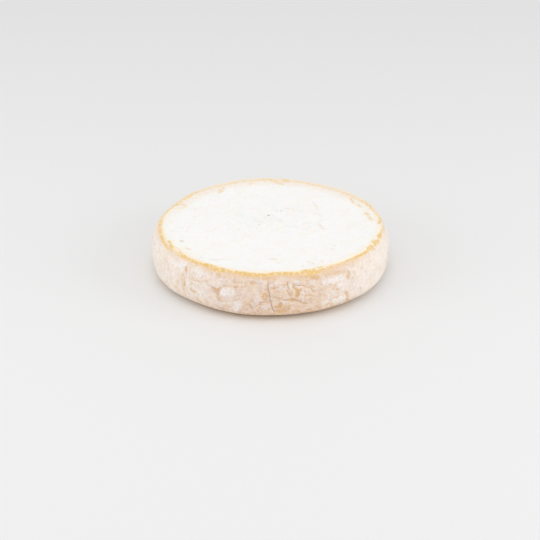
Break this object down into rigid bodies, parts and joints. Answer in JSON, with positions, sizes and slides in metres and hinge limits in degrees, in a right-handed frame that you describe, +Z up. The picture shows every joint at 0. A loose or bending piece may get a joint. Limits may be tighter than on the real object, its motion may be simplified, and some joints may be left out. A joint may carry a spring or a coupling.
{
  "type": "reblochon",
  "caption": "Whole uncut reblochon: a low round soft cheese with a bloomed cream rind, an ochre rim line, a flat top and a slightly bulging, finely cracked side.",
  "frame": {"origin": "middle of the flat underside that the cheese rests on", "axes": "+Z up, through the thickness of the cheese; -Y towards the side that the picture shows in front; +X to the right of that side"},
  "size_m": [0.14, 0.1398, 0.029],
  "materials": {
    "rind": "dry, matte cheese rind: near-white bloom on top, an uneven ochre line round the rim, and a pinkish beige side with white mould patches and orange-brown cracks"
  },
  "bodies": {
    "root": {"cheese_wheel": "rind"}
  },
  "joints": []
}
